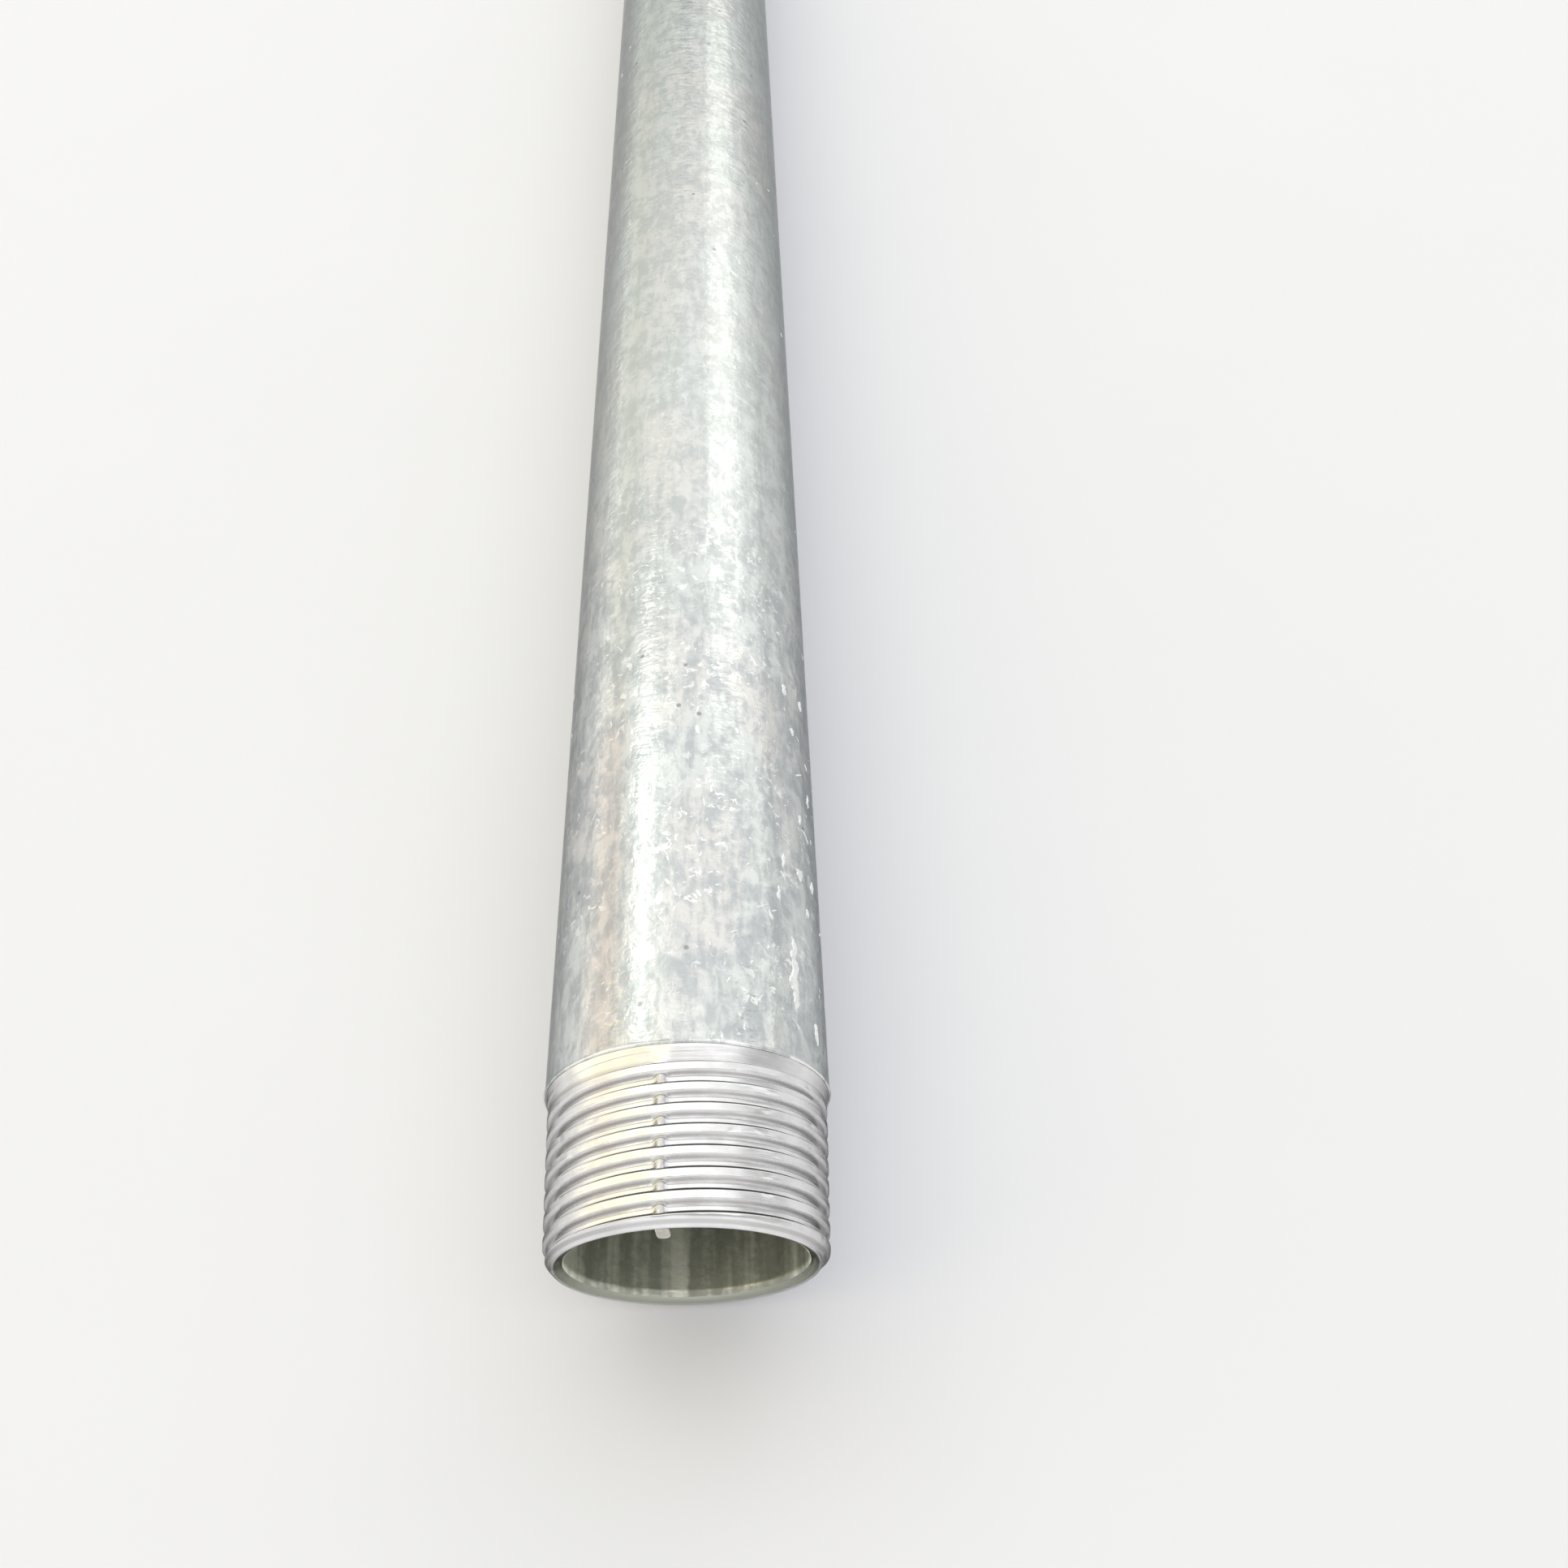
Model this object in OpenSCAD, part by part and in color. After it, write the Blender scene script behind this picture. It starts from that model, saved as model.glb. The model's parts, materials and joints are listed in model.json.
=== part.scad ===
// Threaded pipe nipple: a length of welded, galvanised steel pipe with a taper thread cut on each end.
// Millimetres. The pipe lies along Y with its centre at the origin, and +Z is up.

/* [Pipe] */
// Overall length, end face to end face
pipe_len = 400; // [120:1:1000]
// Outside diameter, over the zinc
pipe_od = 33.7; // [33.2:0.1:34.2]
// Wall thickness, with both zinc coats
wall = 3.2; // [2.6:0.1:3.4]
// Thickness of each zinc coat
zinc_t = 0.08; // [0.06:0.01:0.12]

/* [Thread] */
// Pitch: 11 threads to the inch
pitch = 2.309; // [2.2:0.001:2.4]
// Pitch diameter at the gauge plane
pitch_dia = 31.77; // [31.6:0.01:31.9]
// Distance from the end face to the gauge plane
gauge_len = 10.4; // [8:0.1:12]
// Width of the flat left on the crests
crest_flat = 0.83; // [0.6:0.01:0.9]
// Width of the flat at the bottom of the grooves
root_flat = 0.46; // [0.3:0.01:0.6]
// Half of the angle between the flanks, in degrees
flank_angle = 27.5; // [27:0.5:30]
// How much the thread's diameter grows along its length: 1 in this number
taper_ratio = 16; // [12:1:20]
// Distance from the end face to the start of the run-out
runout_start = 15.9; // [12:0.1:17]
// Distance from the end face to the edge of the zinc, where the die stopped
zinc_edge = 19.3; // [18.5:0.1:24]
// Where a crest of the front thread crosses the top of the pipe, from the end face
crest_at_top = 9.94; // [9:0.01:11.3]

/* [Mouths] */
// Diameter of the reamed mouth at the end face
mouth_dia = 29.28; // [28.6:0.01:29.6]
// Depth of the reamed chamfer
ream_depth = 0.6; // [0.3:0.05:1.5]

/* [Weld seam] */
// Width of the bead of weld left along the bore
bead_w = 2; // [1.4:0.1:3]
// How far the bead stands into the bore
bead_h = 0.22; // [0.1:0.01:0.24]
// Angle of the seam from the top of the pipe, towards -X
seam_angle = 7.4; // [0:0.1:30]

/* [Hidden] */
$fn = 96;
bead_fn = 720;                     // the bead is a thin sliver of the bore's circle, so it takes finer steps

zinc_r = pipe_od / 2;              // outside of the zinc
steel_r = zinc_r - zinc_t;         // outside of the steel under it
bore_r = zinc_r - wall;            // inside of the zinc lining
steel_bore_r = bore_r + zinc_t;    // inside of the steel under the lining
mouth_r = mouth_dia / 2;
// Where the reamed chamfer meets the steel's bore
steel_ream = ream_depth * (mouth_r - steel_bore_r) / (mouth_r - bore_r);

radial_taper = 0.5 / taper_ratio;
flank_run = tan(flank_angle);
thread_depth = (pitch - crest_flat - root_flat) / (2 * flank_run);
// A tooth is half a pitch wide on the pitch cone, which places its crest above that cone
crest_rise = (pitch / 2 - crest_flat) / (2 * flank_run);

turn_steps = 48;                   // flat facets in one turn of the thread
min_height = 0.03;                 // height at which a ridge begins and ends
foot_clear = 1 / cos(180 / turn_steps);   // keeps the flat facets just outside the round core
first_centre = (pitch - root_flat) / 2 + 0.03;   // the first ridge starts just inside the end face
start_len = 0.8;                   // length over which the end chamfer lets the first ridge grow

// Slope of the run-out cone, from the root cone up to the steel under the zinc's edge
runout_rise = (steel_r - root_r(runout_start)) / (zinc_edge - runout_start);

zinc_colour = "#b7b9b2";
steel_colour = "#9a9da3";
thread_colour = "#c9c8c4";

// Radius of the thread's crests at a distance z from the end face
function crest_r(z) = pitch_dia / 2 + crest_rise + (z - gauge_len) * radial_taper;

// Radius of the grooves' bottoms, before the run-out
function root_r(z) = crest_r(z) - thread_depth;

// Radius of the solid core under the ridges: the root cone, then the run-out cone
function core_r(z) = z < runout_start ? root_r(z)
    : min(steel_r, root_r(runout_start) + runout_rise * (z - runout_start));

// Where a flank on one side (-1 or 1) of a ridge centred at z meets the core, found by repetition
function foot_offset(z, side, reach, tries = 8) = tries == 0 ? reach
    : let (height = max(0, crest_r(z) - core_r(z + side * reach)))
      foot_offset(z, side, crest_flat / 2 + height * flank_run, tries - 1);

// Height that the end chamfer leaves a ridge centred at z
function crest_cap(z) = core_r(z) + min_height + thread_depth * max(0, (z - first_centre) / start_len);

// A point on the pipe's outside, at a turn angle, a radius and a distance from the end face
function around(angle, r, z) = [r * cos(angle), r * sin(angle), z];

// The four corners of a ridge's section at a turn angle: foot, crest edge, crest edge, foot
function ridge_section(angle, z) = let (
    low = foot_offset(z, -1, crest_flat),
    high = foot_offset(z, 1, crest_flat),
    top = max(core_r(z) + min_height, min(crest_r(z), crest_cap(z))),
    high_top = max(top, core_r(z + crest_flat / 2) + min_height)
) [
    around(angle, core_r(z - low) * foot_clear, z - low),
    around(angle, top * foot_clear, z - crest_flat / 2),
    around(angle, high_top * foot_clear, z + crest_flat / 2),
    around(angle, core_r(z + high) * foot_clear, z + high)
];

// A length of pipe standing on its end face, as a solid of revolution that leaves out a slot about the seam
module lathe(profile, slot = 0) {
    rotate([0, 0, -90 - seam_angle + slot / 2]) rotate_extrude(angle = 360 - slot) polygon(profile);
}

// A profile's points for one end, followed by the same points mirrored for the other end
function both_ends(points) = concat(points,
    [for (i = [len(points) - 1 : -1 : 0]) [points[i][0], pipe_len - points[i][1]]]);

// Lays a standing part down along Y, with its start at the front end
module lay_front() {
    translate([0, -pipe_len / 2, 0]) rotate([-90, 0, 0]) children();
}

// The same for the rear end, so that the part's start is the rear end face
module lay_rear() {
    translate([0, pipe_len / 2, 0]) rotate([90, 0, 0]) children();
}

// The welded steel pipe, with a root cone and a run-out cut on each end and reamed mouths
module steel_tube() {
    end_points = [
        [steel_bore_r, steel_ream],
        [mouth_r, 0],
        [core_r(0), 0],
        [core_r(runout_start), runout_start],
        [steel_r, zinc_edge]
    ];
    color(steel_colour) lay_front() lathe(both_ends(end_points));
}

// One right-hand helical ridge, from the end chamfer to where the run-out swallows it
module thread_ridge() {
    last_centre = runout_start + thread_depth / (runout_rise - radial_taper) + crest_flat / 2;
    steps = floor((last_centre - first_centre) / pitch * turn_steps);
    top_angle = -90;
    start_angle = top_angle + 360 * (first_centre - crest_at_top) / pitch;
    sections = [for (i = [0 : steps])
        ridge_section(start_angle + i * 360 / turn_steps, first_centre + i * pitch / turn_steps)];
    last = 4 * steps;
    sides = [for (i = [0 : steps - 1], k = [0 : 3])
        let (a = 4 * i + k, b = 4 * i + (k + 1) % 4)
        each [[a, a + 4, b], [b, a + 4, b + 4]]];
    caps = [[0, 1, 2], [0, 2, 3], [last, last + 2, last + 1], [last, last + 3, last + 2]];
    polyhedron(points = [for (s = sections) each s], faces = concat(sides, caps), convexity = 10);
}

module front_thread() {
    color(thread_colour) lay_front() thread_ridge();
}

module rear_thread() {
    color(thread_colour) lay_rear() thread_ridge();
}

// The zinc on the barrel, which the die cut back to a bevelled edge at each end
module zinc_outer() {
    end_points = [
        [steel_r, zinc_edge],
        [zinc_r, zinc_edge + zinc_t]
    ];
    color(zinc_colour) lay_front() lathe(both_ends(end_points));
}

// The zinc in the bore, parted along the weld bead
module zinc_inner() {
    end_points = [
        [bore_r, ream_depth],
        [steel_bore_r, steel_ream]
    ];
    bead_span = 2 * asin(bead_w / 2 / steel_bore_r);
    color(zinc_colour) lay_front() lathe(both_ends(end_points), bead_span);
}

// The weld bead inside the bore: what a slim round bar along the seam shares with the steel's bore
module weld_bead() {
    half_w = bead_w / 2;
    bar_rise = bead_h + zinc_t - half_w * half_w / (2 * steel_bore_r);
    bar_r = half_w * half_w / (2 * bar_rise);
    color(steel_colour) lay_front() intersection() {
        rotate([0, 0, -seam_angle]) translate([0, -(bore_r - bead_h + bar_r), ream_depth])
            cylinder(r = bar_r, h = pipe_len - 2 * ream_depth, $fn = bead_fn);
        cylinder(r = steel_bore_r, h = pipe_len, $fn = bead_fn);
    }
}

steel_tube();
front_thread();
rear_thread();
zinc_outer();
zinc_inner();
weld_bead();
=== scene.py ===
"""Looks of the threaded pipe nipple: bare cut threads, mottled zinc, a streaked bore, and a soft studio."""

import json
import math
import random

import bmesh
import bpy
import numpy as np
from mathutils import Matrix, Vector, noise


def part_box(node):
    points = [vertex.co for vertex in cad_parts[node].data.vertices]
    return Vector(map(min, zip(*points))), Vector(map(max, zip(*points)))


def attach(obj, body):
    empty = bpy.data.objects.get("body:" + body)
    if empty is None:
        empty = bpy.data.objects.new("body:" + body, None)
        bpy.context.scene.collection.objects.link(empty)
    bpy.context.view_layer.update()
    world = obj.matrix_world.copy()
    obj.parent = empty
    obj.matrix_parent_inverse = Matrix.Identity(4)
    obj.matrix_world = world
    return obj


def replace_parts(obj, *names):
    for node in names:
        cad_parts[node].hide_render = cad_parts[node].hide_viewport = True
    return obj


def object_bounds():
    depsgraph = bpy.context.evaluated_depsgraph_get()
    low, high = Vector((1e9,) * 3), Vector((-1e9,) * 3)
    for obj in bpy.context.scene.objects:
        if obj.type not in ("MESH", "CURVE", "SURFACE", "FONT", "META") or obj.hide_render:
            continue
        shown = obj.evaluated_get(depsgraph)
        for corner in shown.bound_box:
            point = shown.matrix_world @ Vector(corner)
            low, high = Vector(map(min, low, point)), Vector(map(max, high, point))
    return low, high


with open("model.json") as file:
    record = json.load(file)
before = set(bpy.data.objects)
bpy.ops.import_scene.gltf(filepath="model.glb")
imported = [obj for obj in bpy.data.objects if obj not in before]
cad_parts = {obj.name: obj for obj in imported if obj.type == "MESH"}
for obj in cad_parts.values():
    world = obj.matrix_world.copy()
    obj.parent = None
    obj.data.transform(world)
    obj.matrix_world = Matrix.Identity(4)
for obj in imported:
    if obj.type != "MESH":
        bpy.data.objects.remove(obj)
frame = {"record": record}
CAD_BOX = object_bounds()

# ---------------------------------------------------------------------------
# Sizes, in metres. The frame gives the pipe; the thread's own figures repeat part.scad.
# ---------------------------------------------------------------------------
MM = 0.001
MOUNTS = {m["name"]: m for m in frame["record"]["mounts"]}

PIPE_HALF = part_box("steel_tube")[1].y
ZINC_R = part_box("zinc_outer")[1].x
STEEL_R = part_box("steel_tube")[1].x
BORE_R = MOUNTS["bore"]["dims"]["r_mm"] * MM
STEEL_BORE_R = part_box("zinc_inner")[1].x
PIPE_D = 2 * ZINC_R
ZINC_EDGE = PIPE_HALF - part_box("zinc_outer")[1].y      # from an end face to the edge of the zinc
COAT_HALF = PIPE_HALF - ZINC_EDGE                      # from the middle to the edge of the zinc
FLOOR_Z = CAD_BOX[0].z

PITCH = 2.309 * MM
PITCH_R = MOUNTS["front_end_thread"]["dims"]["r_mm"] * MM
GAUGE_LEN = 10.4 * MM                                  # from an end face to where the radius is PITCH_R
CREST_FLAT = 0.83 * MM
ROOT_FLAT = 0.46 * MM
FLANK_RUN = math.tan(math.radians(27.5))               # run of a flank per rise
TAPER = 1 / 32                                         # radius gained per length
RUNOUT_START = 15.9 * MM                               # where the grooves start to grow shallow
CREST_AT_TOP = 9.94 * MM                               # where a front crest crosses the top of the pipe
MOUTH_R = 14.64 * MM                                   # outer edge of the reamed mouth
REAM_DEPTH = 0.6 * MM
THREAD_DEPTH = (PITCH - CREST_FLAT - ROOT_FLAT) / (2 * FLANK_RUN)
CREST_RISE = (PITCH / 2 - CREST_FLAT) / (2 * FLANK_RUN)
CREST_R_AT_FACE = PITCH_R + CREST_RISE - GAUGE_LEN * TAPER
REAM_TOP_DEPTH = (CREST_R_AT_FACE - MOUTH_R) / THREAD_DEPTH      # the mouth's edge, as a groove depth

SEAM_ANGLE = math.radians(-7.4)                        # angles run from the top of the pipe, towards +X
SKIN = 0.15 * MM                                       # hidden faces lie this deep, or some multiple of it
TUCK = 0.3 * SKIN                                      # how far the back of a coat lies inside the steel
COLUMNS = 240                                          # mesh points round the pipe's outside
FINE_REACH = 60 * MM                                   # how far into the bore its mesh stays fine

FULL_TURN = 2 * math.pi
ROOM = 3.5                                             # from the pipe to the soft boxes
FLOOR_HALF = 4.2                                       # half the width of the floor

CAMERA_FROM_MOUTH = (0.2714, -1.246, 4.4554)           # in pipe diameters, from the middle of the mouth
CAMERA_DOWN = math.radians(54.42)                      # how far the camera looks down from level
CAMERA_HEADING = math.radians(2.07)                    # and to the right of the pipe's line
LENS_MM = 30.47                                        # on a sensor 36 mm wide


# ---------------------------------------------------------------------------
# Small tools
# ---------------------------------------------------------------------------
def smooth_max(a, b, blend):
    """The larger of two arrays, with a fillet of about that size where they meet."""
    gap = np.clip(0.5 + 0.5 * (a - b) / blend, 0, 1)
    return b + (a - b) * gap + blend * gap * (1 - gap)


def smooth_min(a, b, blend):
    return -smooth_max(-a, -b, blend)


def ramp(x, low, high):
    """0 below low, 1 above high, and a smooth step between."""
    t = np.clip((x - low) / (high - low), 0, 1)
    return t * t * (3 - 2 * t)


def on_circle(radius, angle):
    """X and Z of a point that far from the pipe's axis, at an angle from the top towards +X."""
    return radius * np.sin(angle), radius * np.cos(angle)


def whole_turn(columns):
    """Angles all the way round, from the underside on, where a mesh's join shows least."""
    return np.linspace(0, FULL_TURN, columns, endpoint=False) - math.pi


def noise_field(x, y, z, size, seed, octaves=2):
    """Smooth noise, about -1 to 1, at arrays of points. Its lumps have one size, or one size per axis."""
    sx, sy, sz = size if hasattr(size, "__len__") else (size, size, size)
    shift = Vector((seed * 7.31, seed * 3.77, seed * 5.13))
    flat = np.column_stack([np.ravel(x) / sx, np.ravel(y) / sy, np.ravel(z) / sz])
    values = [noise.fractal(Vector(p) + shift, 1.0, 2.0, octaves) for p in flat]
    return np.array(values).reshape(np.shape(x))


def mesh_piece(name, points, faces, material):
    """An object from points and faces, smooth shaded, riding on the one body."""
    mesh = bpy.data.meshes.new(name)
    mesh.from_pydata(points, [], faces)
    mesh.validate()
    mesh.polygons.foreach_set("use_smooth", [True] * len(mesh.polygons))
    mesh.materials.append(material)
    piece = bpy.data.objects.new(name, mesh)
    bpy.context.scene.collection.objects.link(piece)
    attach(piece, "root")
    return piece


def merge_coincident(piece, distance=2e-7):
    """Welds points that lie on one another, and drops the faces that this leaves with no area."""
    work = bmesh.new()
    work.from_mesh(piece.data)
    bmesh.ops.remove_doubles(work, verts=work.verts, dist=distance)
    bmesh.ops.dissolve_degenerate(work, edges=work.edges, dist=distance)
    bmesh.ops.recalc_face_normals(work, faces=work.faces)
    work.to_mesh(piece.data)
    work.free()


def ring_quads(rings, around):
    """Quads between closed rings of points, each ring numbered on from the one before."""
    quads = []
    for ring in range(rings - 1):
        here, there = ring * around, (ring + 1) * around
        for place in range(around):
            beside = (place + 1) % around
            quads.append((here + place, here + beside, there + beside, there + place))
    return quads


def loop_faces(rows, columns, shear=0, sheared_rows=0):
    """Quads of a tube whose rows close into a loop. Where the columns close, the first sheared_rows rows
    join the row that lies shear further on, so that they run on as helices."""
    def index(row, column):
        row %= rows
        if column == columns:
            column = 0
            if row < sheared_rows:
                row = min(row + shear, sheared_rows - 1)
        return row * columns + column

    return [
        (index(r, c), index(r + 1, c), index(r + 1, c + 1), index(r, c + 1))
        for r in range(rows)
        for c in range(columns)
    ]


def revolved_piece(name, along, radius, angle, material, end=None, shear=0, sheared_rows=0):
    """A closed solid round the pipe's axis from arrays (rows, columns) of place, radius and angle. With end
    "front" or "rear", along is the distance from that end face; otherwise it is the place along Y."""
    x, z = on_circle(radius, angle)
    y = along
    if end == "front":
        y = along - PIPE_HALF
    elif end == "rear":
        x = -x
        y = PIPE_HALF - along
    points = np.stack([x, y, z], axis=-1).reshape(-1, 3)
    faces = loop_faces(*radius.shape, shear, sheared_rows)
    piece = mesh_piece(name, points.tolist(), faces, material)
    merge_coincident(piece)
    return piece


# ---------------------------------------------------------------------------
# Thread form
# ---------------------------------------------------------------------------
def crest_radius(s):
    return PITCH_R + CREST_RISE + (s - GAUGE_LEN) * TAPER


ROOT_R_AT_FACE = crest_radius(0) - THREAD_DEPTH


def core_radius(s):
    """Bottom of the grooves at a distance s from the end face: the root cone, then the run-out cone."""
    root = crest_radius(s) - THREAD_DEPTH
    start = crest_radius(RUNOUT_START) - THREAD_DEPTH
    slope = (STEEL_R - start) / (ZINC_EDGE - RUNOUT_START)
    runout = start + (s - RUNOUT_START) * slope
    return np.minimum(smooth_max(root, runout, 0.25 * MM), STEEL_R)


def thread_radius(s, from_crest, angle, seed):
    """Radius of the cut surface. from_crest is how far along the pipe the nearest crest's middle lies."""
    x, z = on_circle(STEEL_R, angle)

    # The crests waver a little, and small tears take up to a tenth of a millimetre off them
    waver = noise_field(x, s, z, (3 * MM, 1.6 * MM, 3 * MM), seed)
    tear = ramp(noise_field(x, s, z, (1.4 * MM, 0.9 * MM, 1.4 * MM), seed + 5), 0.35, 0.8)
    crest = crest_radius(s) + 0.018 * MM * waver - 0.1 * MM * tear
    core = core_radius(s) + 0.01 * MM * waver
    flank = crest_radius(s) + (CREST_FLAT / 2 - np.abs(from_crest)) / FLANK_RUN
    ridge = smooth_min(flank, crest, 0.05 * MM)

    # The weld is harder than the pipe, so the die left its grooves part filled along the seam
    off_seam = (angle - SEAM_ANGLE) * STEEL_R
    seam = np.exp(-((off_seam / (0.62 * MM)) ** 4)) * (0.8 + 0.2 * waver)
    core = core + (crest_radius(s) - core_radius(s)) * 0.72 * seam
    ridge = ridge - 0.06 * MM * seam

    cut = smooth_max(ridge, core, 0.09 * MM)
    chamfer = ROOT_R_AT_FACE + s
    return smooth_min(cut, chamfer, 0.12 * MM)


def pitch_steps():
    """Where the mesh rows lie in one pitch, as parts of it from a crest's middle, dense where it turns."""
    crest = CREST_FLAT / 2 / PITCH
    root = 0.5 - ROOT_FLAT / 2 / PITCH
    half = [0, 0.5 * crest, crest - 0.035, crest - 0.012, crest + 0.008, crest + 0.03]
    half += [crest + (root - crest) * t for t in (0.3, 0.5, 0.7)]
    half += [root - 0.035, root - 0.012, root + 0.01, root + 0.035]
    return half + [0.5] + [1 - t for t in reversed(half[1:])]


def threaded_end(name, end, material, seed):
    """The visible steel of one end: thread, run-out, end face and reamed chamfer, as one closed skin."""
    last = ZINC_EDGE + 1.5 * MM                        # it runs on under the zinc
    steps = pitch_steps()
    shear = len(steps)
    turns = math.ceil(last / PITCH) + 2
    turn_shift = math.floor(CREST_AT_TOP / PITCH) + 2
    angle = whole_turn(COLUMNS)
    crest_zero = CREST_AT_TOP + PITCH * angle / FULL_TURN
    rows_s, rows_t = [], []
    for k in range(-turn_shift, turns):
        for t in steps:
            rows_s.append(crest_zero + (k + t) * PITCH)
            rows_t.append(np.full(COLUMNS, (t if t <= 0.5 else t - 1) * PITCH))

    # Rows past either end of the skin all fall on its last circle there, where they are merged
    s = np.clip(np.array(rows_s), 0, last)
    from_crest = np.array(rows_t)
    angles = np.tile(angle, (len(s), 1))
    radius = thread_radius(s, from_crest, angles, seed)
    radius = np.where(s >= ZINC_EDGE, STEEL_R - TUCK, radius)
    radius = np.where(s <= 0, ROOT_R_AT_FACE - 0.03 * MM, radius)
    sheared = len(s)

    # From the inner end of the skin back to the end face: its hidden side, the reamed chamfer, the land
    x, z = on_circle(STEEL_R, angle)
    nick = 0.03 * MM * noise_field(x, 0 * angle, z, 2.2 * MM, seed + 9)
    back = [
        (last, STEEL_R - 3 * SKIN + 0 * angle),
        (RUNOUT_START, core_radius(RUNOUT_START) - 3 * SKIN + 0 * angle),
        (1.2 * MM, ROOT_R_AT_FACE - 3 * SKIN + 0 * angle),
        (1.2 * MM, STEEL_BORE_R + TUCK + 0 * angle),
        (REAM_DEPTH * 1.6, STEEL_BORE_R - 0.2 * SKIN + 0 * angle),
        (REAM_DEPTH * 1.05, BORE_R + 0.02 * MM + nick),
        (REAM_DEPTH * 0.95, BORE_R + 0.07 * MM + nick),
        (REAM_DEPTH * 0.5, (BORE_R + MOUTH_R) / 2 + nick),
        (REAM_DEPTH * 0.1, MOUTH_R - 0.1 * MM + nick),
        (0.03 * MM, MOUTH_R - 0.03 * MM + nick),
        (-0.005 * MM, MOUTH_R + 0.03 * MM + nick),
        (-0.01 * MM, (MOUTH_R + ROOT_R_AT_FACE) / 2 + 0 * angle),
    ]
    s = np.vstack([s] + [np.full((1, COLUMNS), place) for place, _ in back])
    radius = np.vstack([radius] + [r[None, :] for _, r in back])
    angles = np.tile(angle, (len(s), 1))
    return revolved_piece(name, s, radius, angles, material, end, shear, sheared)


# ---------------------------------------------------------------------------
# Materials
# ---------------------------------------------------------------------------
class Nodes:
    """A short way to write a material's nodes."""

    def __init__(self, name):
        self.material = bpy.data.materials.new(name)
        self.material.use_nodes = True
        self.tree = self.material.node_tree
        self.tree.nodes.clear()
        self.output = self.add("ShaderNodeOutputMaterial")
        self.shader = self.add("ShaderNodeBsdfPrincipled")
        self.link(self.shader.outputs[0], self.output.inputs[0])
        self.place = self.add("ShaderNodeTexCoord").outputs["Object"]

    def add(self, kind, **settings):
        node = self.tree.nodes.new(kind)
        for key, value in settings.items():
            setattr(node, key, value)
        return node

    def link(self, source, target):
        self.tree.links.new(source, target)

    def feed(self, socket, value):
        """Links a node's output to a socket, or sets the socket to a number or colour."""
        if isinstance(value, bpy.types.NodeSocket):
            self.link(value, socket)
        else:
            socket.default_value = value

    def stretch(self, scale):
        """The place on the object, scaled by one number per axis."""
        node = self.add("ShaderNodeVectorMath", operation="MULTIPLY")
        self.link(self.place, node.inputs[0])
        node.inputs[1].default_value = scale
        return node.outputs[0]

    def noise(self, size, detail=3, roughness=0.55, distortion=0.0, stretch=(1, 1, 1)):
        """Noise with lumps about size metres across, longer along an axis whose stretch is above 1."""
        node = self.add("ShaderNodeTexNoise")
        self.link(self.stretch([1 / (size * s) for s in stretch]), node.inputs["Vector"])
        node.inputs["Scale"].default_value = 1
        node.inputs["Detail"].default_value = detail
        node.inputs["Roughness"].default_value = roughness
        node.inputs["Distortion"].default_value = distortion
        return node.outputs["Fac"]

    def cells(self, size):
        """How far the nearest of many scattered points is, in sizes. They lie about one size apart."""
        node = self.add("ShaderNodeTexVoronoi", feature="F1")
        self.link(self.stretch([1 / size] * 3), node.inputs["Vector"])
        node.inputs["Scale"].default_value = 1
        return node.outputs["Distance"]

    def between(self, value, low, high, to_low=0.0, to_high=1.0):
        """A value's range from low to high, spread over to_low to to_high, smoothly."""
        node = self.add("ShaderNodeMapRange", interpolation_type="SMOOTHSTEP")
        for socket, item in zip(node.inputs, (value, low, high, to_low, to_high)):
            self.feed(socket, item)
        return node.outputs[0]

    def math(self, operation, a, b=0.0):
        node = self.add("ShaderNodeMath", operation=operation)
        self.feed(node.inputs[0], a)
        self.feed(node.inputs[1], b)
        return node.outputs[0]

    def mix(self, factor, a, b):
        node = self.add("ShaderNodeMix", data_type="RGBA")
        self.feed(node.inputs[0], factor)
        self.feed(node.inputs[6], a if isinstance(a, bpy.types.NodeSocket) else (*a, 1))
        self.feed(node.inputs[7], b if isinstance(b, bpy.types.NodeSocket) else (*b, 1))
        return node.outputs[2]

    def bump(self, height, depth, base=None):
        """A normal that follows a height from 0 to 1, which stands for depth metres, over a base normal."""
        node = self.add("ShaderNodeBump")
        node.inputs["Strength"].default_value = 1
        node.inputs["Distance"].default_value = depth
        self.link(height, node.inputs["Height"])
        if base is not None:
            self.link(base, node.inputs["Normal"])
        return node.outputs[0]

    def groove_depth(self):
        """0 on the thread's crests and 1 at the bottom of its grooves, from the place on the pipe."""
        split = self.add("ShaderNodeSeparateXYZ")
        self.link(self.place, split.inputs[0])
        x, y, z = split.outputs
        squares = self.math("ADD", self.math("MULTIPLY", x, x), self.math("MULTIPLY", z, z))
        radius = self.math("SQRT", squares)
        from_end = self.math("SUBTRACT", PIPE_HALF, self.math("ABSOLUTE", y))
        taper = self.math("MULTIPLY", from_end, TAPER)
        crest = self.math("ADD", taper, CREST_R_AT_FACE)
        return self.math("DIVIDE", self.math("SUBTRACT", crest, radius), THREAD_DEPTH)

    def around_axis(self):
        """The direction round the pipe, for the shader's brushed look."""
        tangent = self.add("ShaderNodeTangent", direction_type="RADIAL", axis="Y")
        self.link(tangent.outputs[0], self.shader.inputs["Tangent"])

    def finish(self, colour, roughness, metallic, normal):
        self.feed(self.shader.inputs["Base Color"], colour)
        self.feed(self.shader.inputs["Roughness"], roughness)
        self.feed(self.shader.inputs["Metallic"], metallic)
        self.link(normal, self.shader.inputs["Normal"])
        return self.material


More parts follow.
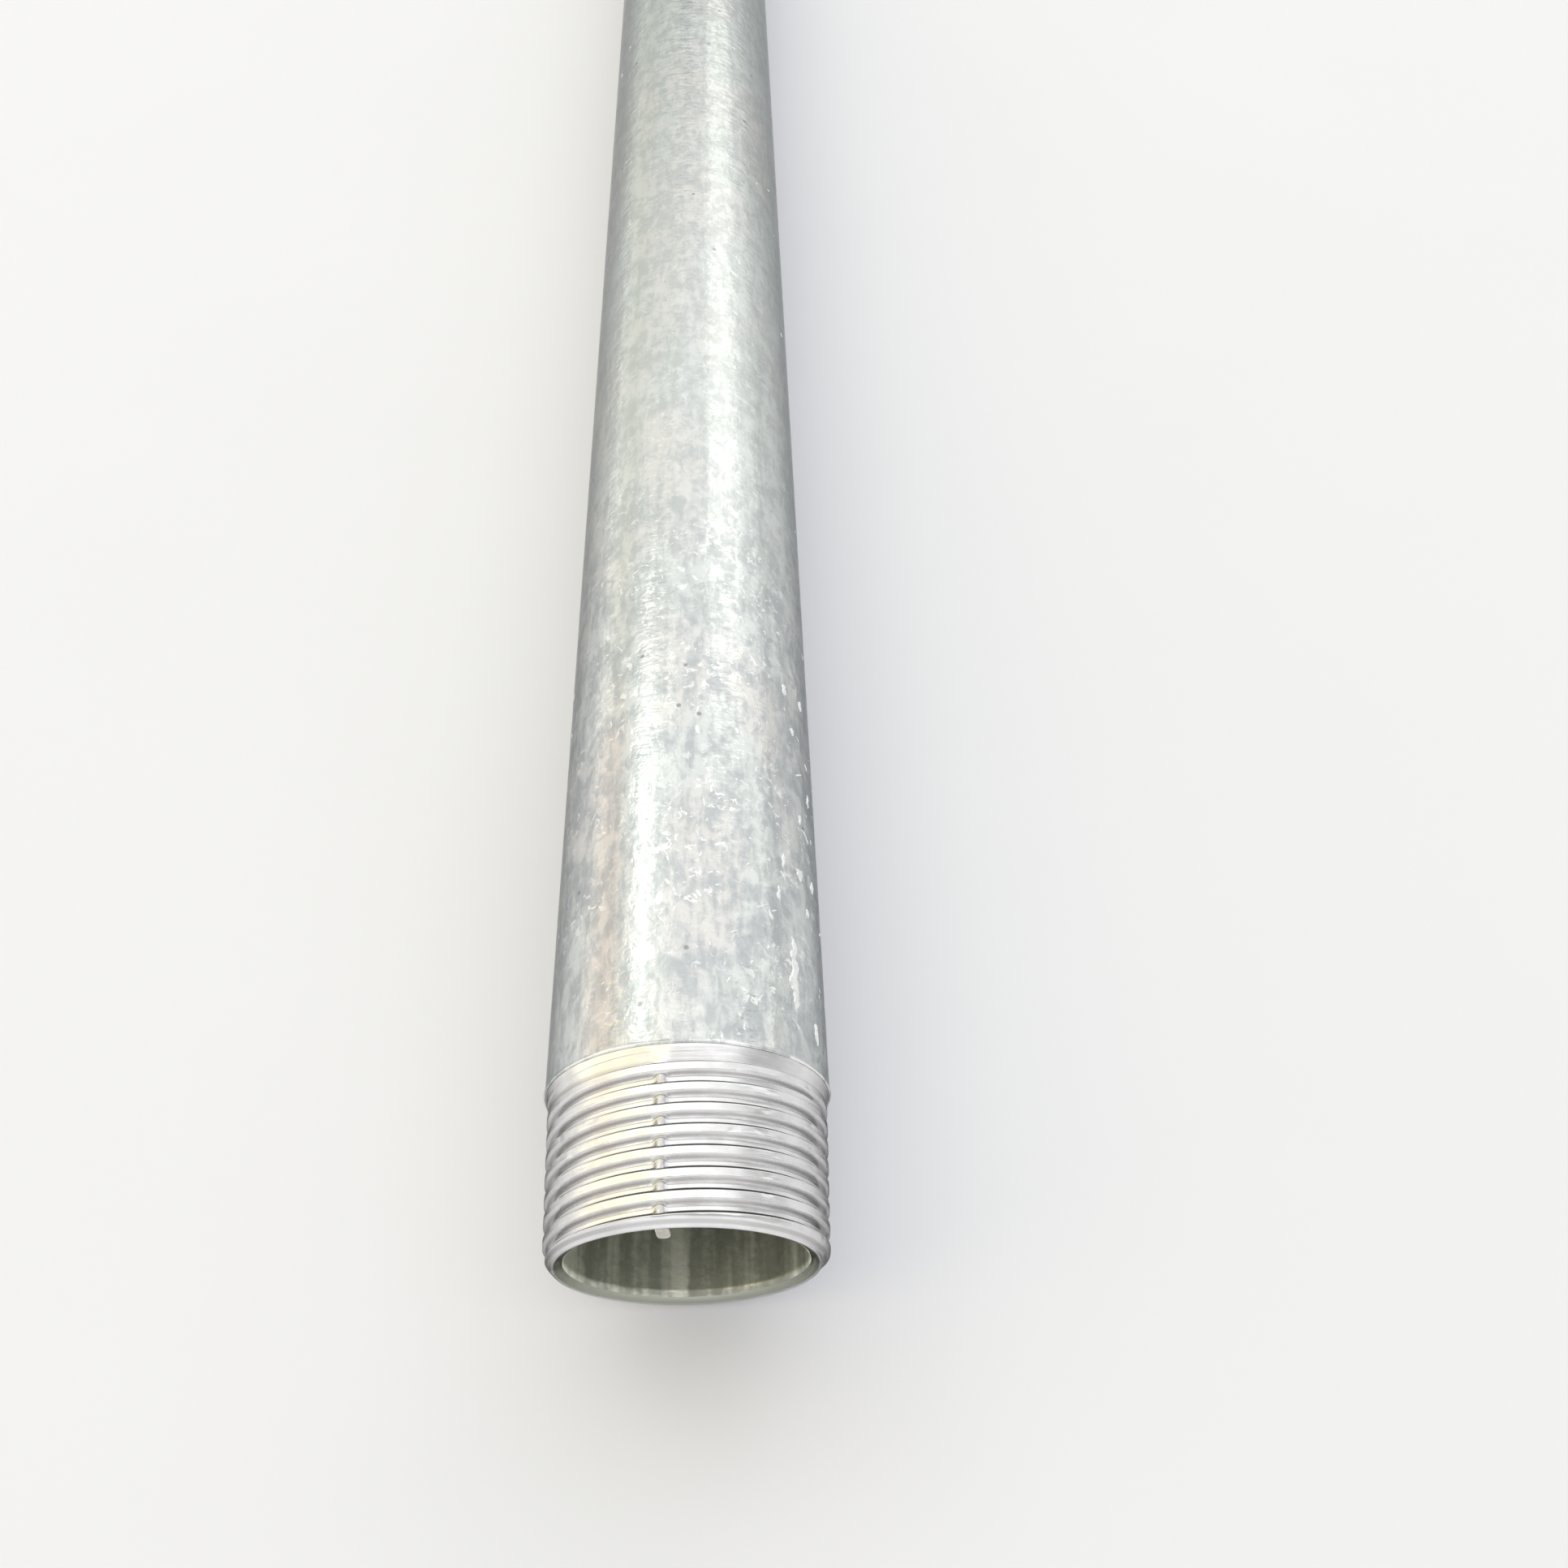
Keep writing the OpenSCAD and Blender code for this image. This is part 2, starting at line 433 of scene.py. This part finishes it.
def zinc_material():
    """Hot-dip zinc: soft grey dapples, bolder near the ends, with wrinkles, pits and specks of white. It is
    bright where the die turned it."""
    n = Nodes("galvanised_zinc")

    # Dapples of three sizes, between a dark and a light grey
    blotch = n.noise(6 * MM, detail=3, distortion=0.5)
    patch = n.noise(1.7 * MM, detail=4, roughness=0.65, distortion=0.6, stretch=(1, 1.5, 1))
    streak = n.noise(1.1 * MM, detail=3, stretch=(1, 5, 1))
    tone = n.math("ADD", n.math("MULTIPLY", blotch, 0.3), n.math("MULTIPLY", patch, 0.42))
    tone = n.math("ADD", tone, n.math("MULTIPLY", streak, 0.28))
    split = n.add("ShaderNodeSeparateXYZ")
    n.link(n.place, split.inputs[0])
    from_middle = n.math("ABSOLUTE", split.outputs[1])
    near_end = n.between(from_middle, PIPE_HALF - 4.2 * PIPE_D, PIPE_HALF - 1.8 * PIPE_D)
    dark = n.mix(near_end, (0.59, 0.61, 0.60), (0.50, 0.525, 0.54))
    tint = n.noise(15 * MM, detail=1, stretch=(1, 2, 1))
    light = n.mix(n.between(tint, 0.4, 0.6), (0.75, 0.74, 0.722), (0.722, 0.75, 0.738))
    colour = n.mix(n.between(tone, 0.41, 0.59), dark, light)

    # White specks in clusters, dark pits, and the bright line where the die stopped
    clusters = n.between(n.noise(11 * MM, detail=2), 0.42, 0.58)
    speck = n.between(n.noise(1.2 * MM, detail=3, roughness=0.6, distortion=0.8), 0.57, 0.65)
    white = n.math("MULTIPLY", n.math("MULTIPLY", speck, clusters), n.between(near_end, 0, 1, 0.3, 0.9))
    colour = n.mix(white, colour, (0.92, 0.93, 0.92))
    pit = n.between(n.cells(7 * MM), 0.062, 0.03)
    colour = n.mix(n.math("MULTIPLY", pit, 0.7), colour, (0.24, 0.25, 0.26))
    turned = n.between(from_middle, COAT_HALF - 0.45 * MM, COAT_HALF - 0.3 * MM)
    worn = n.between(n.noise(4 * MM, detail=2), 0.40, 0.55)
    colour = n.mix(n.math("MULTIPLY", turned, worn), colour, (0.92, 0.92, 0.91))

    # The grey tint keeps the coat's edges from shining white
    rough = n.between(patch, 0.35, 0.7, 0.25, 0.14)
    n.shader.inputs["Specular Tint"].default_value = (0.36, 0.37, 0.38, 1)
    dapple = n.noise(1.3 * MM, detail=3, roughness=0.55, distortion=0.4, stretch=(1, 1.3, 1))
    lumps = n.bump(dapple, 0.07 * MM)
    wrinkle = n.noise(1.0 * MM, detail=2, distortion=0.3, stretch=(2.4, 1, 2.4))
    wrinkles = n.bump(wrinkle, 0.06 * MM, base=lumps)
    fine = n.bump(n.noise(0.45 * MM, detail=3), 0.010 * MM, base=wrinkles)
    return n.finish(colour, rough, 0.9, fine)


def drop_material():
    """Zinc that froze thick and stayed bright."""
    n = Nodes("bright_zinc")
    patch = n.noise(0.8 * MM, detail=3)
    colour = n.mix(n.between(patch, 0.35, 0.65), (0.80, 0.82, 0.83), (0.93, 0.94, 0.94))
    return n.finish(colour, n.between(patch, 0.3, 0.7, 0.2, 0.4), 0.6, n.bump(patch, 0.05 * MM))


def bore_material():
    """The zinc inside: darker, duller, with runs along the pipe."""
    n = Nodes("bore_zinc")
    runs = n.noise(2.6 * MM, detail=2, stretch=(1, 16, 1))
    patch = n.noise(1.6 * MM, detail=4, roughness=0.6)
    tone = n.math("ADD", n.math("MULTIPLY", runs, 0.7), n.math("MULTIPLY", patch, 0.3))
    colour = n.mix(n.between(tone, 0.38, 0.62), (0.36, 0.365, 0.31), (0.86, 0.87, 0.76))
    height = n.bump(tone, 0.25 * MM)
    return n.finish(colour, n.between(patch, 0.3, 0.7, 0.5, 0.32), 0.7, height)


def cut_material():
    """Steel fresh from the die: bright crests and roots, flanks darkened with painted shade, and tool lines
    round the pipe.
    """
    n = Nodes("cut_steel")
    lines = n.noise(0.2 * MM, detail=2, stretch=(18, 1, 18))
    patch = n.noise(3 * MM, detail=3)
    bright = n.mix(n.between(patch, 0.35, 0.65), (0.78, 0.775, 0.785), (0.87, 0.865, 0.88))
    depth = n.groove_depth()
    # Painted shade: the flanks between crest and root are given a darker colour.
    flank = n.math("MULTIPLY", n.between(depth, 0.26, 0.42), n.between(depth, 0.80, 0.60))
    colour = n.mix(flank, bright, (0.60, 0.59, 0.59))
    # Painted shade: the reamed chamfer inside the mouth is given a darker colour than the cut steel.
    reamed = n.between(depth, REAM_TOP_DEPTH - 0.03, REAM_TOP_DEPTH + 0.12)
    colour = n.mix(reamed, colour, (0.44, 0.45, 0.40))
    rough = n.between(lines, 0.3, 0.7, 0.18, 0.30)
    n.shader.inputs["Specular Tint"].default_value = (0.08, 0.08, 0.075, 1)
    n.shader.inputs["Anisotropic"].default_value = 0.7
    n.around_axis()
    return n.finish(colour, rough, 1.0, n.bump(lines, 0.008 * MM))


def plain_steel_material():
    """Rolled steel under the zinc, which shows nowhere but through a gap."""
    n = Nodes("rolled_steel")
    patch = n.noise(2 * MM, detail=3)
    colour = n.mix(patch, (0.30, 0.30, 0.30), (0.44, 0.44, 0.43))
    return n.finish(colour, 0.5, 0.9, n.bump(patch, 0.03 * MM))


def weld_material():
    """The trimmed bead of weld, under its zinc."""
    n = Nodes("weld_bead_zinc")
    patch = n.noise(1.2 * MM, detail=3, stretch=(1, 2, 1))
    colour = n.mix(n.between(patch, 0.35, 0.65), (0.55, 0.54, 0.48), (0.80, 0.78, 0.70))
    return n.finish(colour, n.between(patch, 0.3, 0.7, 0.35, 0.5), 0.7, n.bump(patch, 0.08 * MM))


def floor_material():
    n = Nodes("pale_floor")
    patch = n.noise(60 * MM, detail=2)
    colour = n.mix(patch, (0.84, 0.845, 0.89), (0.86, 0.865, 0.91))
    return n.finish(colour, 0.75, 0.0, n.bump(patch, 0.05 * MM))


# ---------------------------------------------------------------------------
# Pieces
# ---------------------------------------------------------------------------
def closed_coat(name, along, radius, angles, buried_r, material):
    """A coat from the rows of its visible side, closed by a plain back at buried_r."""
    buried = np.full_like(radius[:1], buried_r)
    along = np.vstack([along, along[-1:], along[:1]])
    radius = np.vstack([radius, buried, buried])
    angles = np.vstack([angles, angles[:1], angles[:1]])
    return revolved_piece(name, along, radius, angles, material)


def barrel_coat(material):
    """The zinc on the barrel, lumpy, with a raised burr at each edge where the die stopped."""
    near_edge = np.array([0, 0.03, 0.08, 0.14, 0.2, 0.28, 0.38, 0.5, 0.7, 0.95, 1.3]) * MM
    middle = np.arange(2 * MM - COAT_HALF, COAT_HALF - 1.9 * MM, 0.92 * MM)
    y = np.concatenate([near_edge - COAT_HALF, middle, COAT_HALF - near_edge[::-1]])
    along, angles = np.meshgrid(y, whole_turn(COLUMNS), indexing="ij")
    x, z = on_circle(ZINC_R, angles)
    lumps = noise_field(x, along, z, (3.2 * MM, 2.6 * MM, 3.2 * MM), seed=3)
    swell = noise_field(x, along, z, (14 * MM, 30 * MM, 14 * MM), seed=4, octaves=1)
    from_edge = COAT_HALF - np.abs(along)
    settle = ramp(from_edge, 0, 2 * MM)
    radius = ZINC_R - 0.02 * MM + settle * (0.018 * MM * lumps + 0.015 * MM * swell)

    # The bead was scarfed off the outside of the weld, which left a flat strip
    off_seam = (angles - SEAM_ANGLE) * ZINC_R
    radius = radius - 0.03 * MM * np.exp(-((off_seam / (1.7 * MM)) ** 6))

    # The die pushed up a ragged burr, and the coat falls away past it
    ragged = noise_field(x, np.sign(along) * 9 * MM, z, (2.4 * MM, 1, 2.4 * MM), seed=6)
    burr = np.exp(-((from_edge - 0.18 * MM) / (0.17 * MM)) ** 2) * (0.11 + 0.09 * ragged) * MM
    radius = radius + burr - 0.07 * MM * (1 - ramp(from_edge, -0.02 * MM, 0.1 * MM))
    piece = closed_coat("barrel_zinc_coat", along, radius, angles, STEEL_R - TUCK, material)
    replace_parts(piece, "zinc_outer")


def bore_coat(material):
    """The zinc in the bore, with runs that hardened along it."""
    reach = PIPE_HALF - REAM_DEPTH
    fine = np.arange(0, FINE_REACH, 0.9 * MM)
    coarse = np.linspace(-reach + FINE_REACH, reach - FINE_REACH, 40)
    y = np.concatenate([-reach + fine, coarse, reach - fine[::-1]])
    along, angles = np.meshgrid(y, whole_turn(160), indexing="ij")
    x, z = on_circle(BORE_R, angles)
    runs = noise_field(x, along, z, (1.7 * MM, 40 * MM, 1.7 * MM), seed=11)
    lumps = noise_field(x, along, z, 3 * MM, seed=12)
    radius = BORE_R + 0.02 * MM * lumps - 0.07 * MM * np.clip(runs, 0, 1)
    piece = closed_coat("bore_zinc_coat", along, radius, angles, STEEL_BORE_R + TUCK, material)
    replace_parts(piece, "zinc_inner")


def tube_wall(material):
    """The steel of the pipe, just inside the skins that show."""
    columns = 180
    gap = 0.2 * SKIN
    half = [
        (1.2 * MM, STEEL_BORE_R + gap),
        (0.5 * MM, MOUTH_R - 0.2 * MM),
        (0.5 * MM, core_radius(0.5 * MM) - 2 * SKIN),
        (RUNOUT_START, core_radius(RUNOUT_START) - 2 * SKIN),
        (ZINC_EDGE - 1 * MM, core_radius(ZINC_EDGE - 1 * MM) - 2 * SKIN),
        (ZINC_EDGE + 1 * MM, STEEL_R - gap),
        (PIPE_HALF * 0.5, STEEL_R - gap),
    ]
    y = [s - PIPE_HALF for s, _ in half] + [PIPE_HALF - s for s, _ in reversed(half)]
    r = [float(r) for _, r in half] + [float(r) for _, r in reversed(half)]
    angle = np.linspace(0, FULL_TURN, columns, endpoint=False)
    along = np.tile(np.array(y)[:, None], (1, columns))
    radius = np.tile(np.array(r)[:, None], (1, columns))
    angles = np.tile(angle, (len(y), 1))
    piece = revolved_piece("steel_tube_wall", along, radius, angles, material)
    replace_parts(piece, "steel_tube")


def seam_bead(material):
    """The bead of weld in the bore: low, uneven, and trimmed along its length."""
    across = 13
    half_w = 1.0 * MM
    fine = np.arange(REAM_DEPTH, FINE_REACH, 0.4 * MM)
    coarse = np.linspace(FINE_REACH - PIPE_HALF, PIPE_HALF - FINE_REACH, 90)[1:-1]
    y = np.concatenate([fine - PIPE_HALF, coarse, PIPE_HALF - fine[::-1]])
    t = np.linspace(-1, 1, across)
    along, side = np.meshgrid(y, t, indexing="ij")
    uneven = noise_field(side * MM, along, 0 * side, (0.8 * MM, 2.2 * MM, 1), seed=21)
    edge = noise_field(np.sign(side) * MM, along, 0 * side, (1, 3 * MM, 1), seed=22)
    width = half_w * (1 + 0.12 * edge)
    height = (0.24 + 0.05 * uneven) * MM * (1 - np.abs(side) ** 2.5)
    angle = SEAM_ANGLE + side * width / BORE_R
    inner = BORE_R + 0.02 * MM - height
    outer = STEEL_BORE_R + TUCK + 0 * inner
    rows = len(y)
    radius = np.hstack([inner, outer[:, ::-1]])
    angles = np.hstack([angle, angle[:, ::-1]])
    along = np.hstack([along, along])
    x, z = on_circle(radius, angles)
    points = np.stack([x, along, z], -1).reshape(-1, 3)
    ring = 2 * across
    faces = ring_quads(rows, ring)
    for row in (0, rows - 1):                          # the two ends
        faces += [
            (row * ring + c, row * ring + c + 1, row * ring + ring - 2 - c, row * ring + ring - 1 - c)
            for c in range(across - 1)
        ]
    piece = mesh_piece("seam_weld_bead", points.tolist(), faces, material)
    merge_coincident(piece)
    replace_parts(piece, "weld_bead")


def mouth_tab(material):
    """The curl of weld bead that the reamer left hanging at the front mouth."""
    rings, around = 22, 28
    length, half_w, half_t = 2.1 * MM, 0.74 * MM, 0.34 * MM
    curl = 0.6 * MM                                    # how far its free end leans out of the mouth
    set_in = 0.25 * MM                                 # how far inside the end face it hangs
    top_r = MOUTH_R + 0.02 * MM
    round_from = 0.74                                  # its outline is round past this part of its length
    points = []
    for i in range(rings):
        down = i / (rings - 1)
        past = max(0.0, (down - round_from) / (1 - round_from))
        end_round = max(math.sqrt(max(0.0, 1 - past ** 3.5)), 0.02)
        w = half_w * (0.92 + 0.1 * math.sin(2.4 * down)) * end_round
        d = half_t * (1 - 0.25 * down) * end_round
        for j in range(around):
            a = FULL_TURN * j / around
            c, s = math.cos(a), math.sin(a)
            px = w * math.copysign(abs(c) ** 0.5, c)
            py = d * math.copysign(abs(s) ** 0.6, s)
            points.append((px, py + 0.12 * MM - curl * down * down, -length * down))
    faces = ring_quads(rings, around)
    faces.append(tuple(range(around)))
    faces.append(tuple((rings - 1) * around + j for j in reversed(range(around))))
    turn_c, turn_s = math.cos(SEAM_ANGLE), math.sin(SEAM_ANGLE)
    placed = []
    for px, py, pz in points:
        r = top_r + pz
        placed.append((px * turn_c + r * turn_s, py - PIPE_HALF + set_in, -px * turn_s + r * turn_c))
    piece = mesh_piece("mouth_weld_tab", placed, faces, material)
    merge_coincident(piece)


# Larger runs of zinc that froze on the barrel: the place in pipe diameters from the front end, the angle in
# degrees from the top, then length and width in millimetres.
RUNS = [
    (0.90, 50.5, 10.0, 1.3), (0.72, 66, 2.8, 1.2), (2.19, 52, 2.0, 1.0), (2.19, 67, 1.7, 1.0),
    (2.0, 57, 1.3, 0.9), (1.59, 60, 1.6, 0.7), (1.35, 46.5, 2.5, 0.8), (1.33, 57.5, 1.8, 1.1),
    (1.33, 69.5, 1.9, 1.1), (1.2, 43, 2.4, 0.6), (1.19, 63, 1.3, 0.8), (1.72, 70, 1.6, 0.7),
]
RUN_HEIGHT = 0.2 * MM
SPATTER = 120                                          # how many small drops


def droplet(place, angle, length, width, height, slant, seed):
    """Points and faces of one frozen run: a low ridge with a wavering outline, closed underneath. slant is
    how far it moves round the pipe for each length along it."""
    along_n, across_n = max(11, int(length / (0.22 * MM))), 11
    u, v = np.meshgrid(np.linspace(0, 1, along_n), np.linspace(-1, 1, across_n), indexing="ij")
    y = place + (u - 0.5) * length
    zero = 0 * u
    sway = 0.45 * MM * noise_field(zero, y, zero, 2.2 * MM, seed, octaves=1) * min(1, length / (4 * MM))
    taper = np.sqrt(np.clip(1 - np.abs(2 * u - 1) ** 3, 0.01, 1))
    uneven = 1 + 0.9 * noise_field(np.sign(v) * MM, y, zero, 0.55 * MM, seed + 50)
    side = sway + slant * (y - place) + v * width / 2 * taper * np.clip(uneven, 0.3, 2)
    lumps = noise_field(side, y, zero, 0.7 * MM, seed + 90)
    crown = np.sqrt(np.clip(1 - v * v, 0, 1)) * taper * (1 + 0.4 * lumps)
    foot = ZINC_R - 0.06 * MM
    top = foot + 0.02 * MM + height * crown
    at = angle + side / ZINC_R
    ring_r = np.hstack([top, np.full_like(top[:, 1:-1], foot)[:, ::-1]])
    ring_a = np.hstack([at, at[:, -2:0:-1]])
    ring_y = np.hstack([y, y[:, -2:0:-1]])
    x, z = on_circle(ring_r, ring_a)
    points = np.stack([x, ring_y, z], -1).reshape(-1, 3)
    ring = ring_r.shape[1]
    faces = ring_quads(along_n, ring)
    last = (along_n - 1) * ring
    faces += [tuple(reversed(range(ring))), tuple(last + c for c in range(ring))]
    return points.tolist(), faces


def zinc_runs(material):
    """The runs named above and a spatter of small drops, most of them near the front thread."""
    rng = random.Random(12)
    drops = []
    for place, angle, length, wide in RUNS:
        place = place * PIPE_D - PIPE_HALF
        drops.append((place, math.radians(angle), length * MM, wide * MM, RUN_HEIGHT, 0))
    for _ in range(SPATTER):
        near = rng.random() < 0.6
        place = rng.uniform(0.65, 2.6 if near else 11) * PIPE_D - PIPE_HALF
        angle = math.radians(rng.uniform(-5, 85) if near else rng.uniform(-180, 180))
        wide = rng.uniform(0.2, 0.2 + 0.7 * rng.random()) * MM
        length = wide * rng.uniform(0.7, 2.8)
        height = rng.uniform(0.14, 0.24) * wide
        slant = rng.uniform(-1.6, 1.6)
        drops.append((place, angle, length, wide, height, slant))
    points, faces = [], []
    for number, drop in enumerate(drops):
        more, quads = droplet(*drop, seed=200 + number)
        start = len(points)
        points += more
        faces += [tuple(start + i for i in quad) for quad in quads]
    mesh_piece("zinc_runs", points, faces, material)


# ---------------------------------------------------------------------------
# Studio
# ---------------------------------------------------------------------------
def soft_box(name, width, length, radiance, colour, location, rotation):
    """A rectangular lamp that the camera doesn't see."""
    light = bpy.data.lights.new(name, "AREA")
    light.shape = "RECTANGLE"
    light.size, light.size_y = width, length
    light.energy = radiance * math.pi * width * length
    light.color = colour
    lamp = bpy.data.objects.new(name, light)
    bpy.context.scene.collection.objects.link(lamp)
    lamp.location = location
    lamp.rotation_euler = rotation
    lamp.visible_camera = False


def light_panel(name, azimuth, ahead, spread, radiance, colour):
    """A far soft box that runs parallel to the pipe and faces it. azimuth is its middle, in degrees from
    straight up towards +X, and spread the degrees that it fills round the pipe. ahead is where it begins
    and ends along the pipe, from the front mouth on, as multiples of its distance."""
    width = 2 * ROOM * math.tan(math.radians(spread / 2))
    length = (ahead[1] - ahead[0]) * ROOM
    turn = math.radians(azimuth)
    middle = (ahead[0] + ahead[1]) / 2 * ROOM - PIPE_HALF
    location = (ROOM * math.sin(turn), middle, ROOM * math.cos(turn))
    soft_box(name, width, length, radiance, colour, location, (0, turn, 0))


def front_panel(name, height, width, length, radiance):
    """A far white soft box before the front mouth, upright, and facing along the pipe."""
    location = (0, -PIPE_HALF - ROOM, height)
    soft_box(name, width, length, radiance, (1, 1, 1), location, (math.pi / 2, 0, 0))


def studio_air():
    """Even pale light from all round, brighter near the horizon, where it meets the floor."""
    world = bpy.data.worlds.new("studio_air")
    world.use_nodes = True
    nodes, links = world.node_tree.nodes, world.node_tree.links
    split = nodes.new("ShaderNodeSeparateXYZ")
    links.new(nodes.new("ShaderNodeTexCoord").outputs["Generated"], split.inputs[0])
    lift = nodes.new("ShaderNodeMapRange")
    lift.interpolation_type = "SMOOTHSTEP"
    lift.inputs["From Min"].default_value = 0.02
    lift.inputs["From Max"].default_value = 0.22
    lift.inputs["To Min"].default_value = 0.90
    lift.inputs["To Max"].default_value = 0.55
    links.new(split.outputs["Z"], lift.inputs["Value"])
    background = nodes["Background"]
    background.inputs["Color"].default_value = (0.99, 1.0, 0.985, 1)
    links.new(lift.outputs[0], background.inputs["Strength"])
    bpy.context.scene.world = world


def studio():
    """Soft boxes, whose reflections run along the pipe. Those over the near stretch show in the thread, and
    those over the far stretch in the barrel."""
    near, far = (-0.4, 0.41), (0.41, 3.2)
    light_panel("left_wall_near", -53.5, near, 73, 0.84, (1.0, 0.88, 0.52))
    light_panel("left_wall_far", -38, far, 42, 0.50, (0.98, 1.0, 0.92))
    light_panel("left_low_near", -74.5, (0.41, 0.85), 31, 0.46, (1.0, 0.76, 0.60))
    light_panel("left_low_far", -74.5, (0.85, 3.2), 31, 0.46, (0.97, 1.0, 0.82))
    light_panel("ceiling_near", 14, near, 63, 0.70, (1.0, 0.995, 0.985))
    light_panel("ceiling_far", 30, far, 95, 0.62, (1.0, 0.995, 0.975))
    light_panel("left_strip", -36.5, (0.40, 0.84), 17, 1.35, (0.98, 1.0, 0.93))
    light_panel("left_glow", -22, (0.36, 0.9), 14, 0.32, (0.96, 1.0, 0.93))
    light_panel("right_strip", 38, (0.86, 3.2), 32, 0.5, (1.0, 1.0, 0.93))
    front_panel("front_card", 0.37 * ROOM, 1.7 * ROOM, 0.5 * ROOM, 0.5)
    studio_air()
    bpy.context.scene.view_settings.view_transform = "Standard"


def floor(material):
    """A wide pale floor, which the pipe lies on."""
    signs = [(-1, -1), (1, -1), (1, 1), (-1, 1)]
    corners = [(x * FLOOR_HALF, y * FLOOR_HALF, FLOOR_Z) for x, y in signs]
    mesh = bpy.data.meshes.new("studio_floor")
    mesh.from_pydata(corners, [], [(0, 1, 2, 3)])
    mesh.materials.append(material)
    ground = bpy.data.objects.new("studio_floor", mesh)
    bpy.context.scene.collection.objects.link(ground)


def camera():
    """The photograph's view: from above the near mouth, looking along the pipe and steeply down."""
    lens = bpy.data.cameras.new("camera")
    lens.sensor_width = 36
    lens.lens = LENS_MM
    lens.clip_start = 0.01
    view = bpy.data.objects.new("camera", lens)
    bpy.context.scene.collection.objects.link(view)
    view.location = Vector((0, -PIPE_HALF, 0)) + Vector(CAMERA_FROM_MOUTH) * PIPE_D
    view.rotation_euler = (math.pi / 2 - CAMERA_DOWN, 0, -CAMERA_HEADING)
    bpy.context.scene.camera = view


# ---------------------------------------------------------------------------
# The scene
# ---------------------------------------------------------------------------
zinc = zinc_material()
cut = cut_material()
weld = weld_material()
barrel_coat(zinc)
bore_coat(bore_material())
tube_wall(plain_steel_material())
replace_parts(threaded_end("front_thread_cut", "front", cut, seed=31), "front_thread")
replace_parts(threaded_end("rear_thread_cut", "rear", cut, seed=47), "rear_thread")
seam_bead(weld)
mouth_tab(weld)
zinc_runs(drop_material())

camera()
studio()
floor(floor_material())
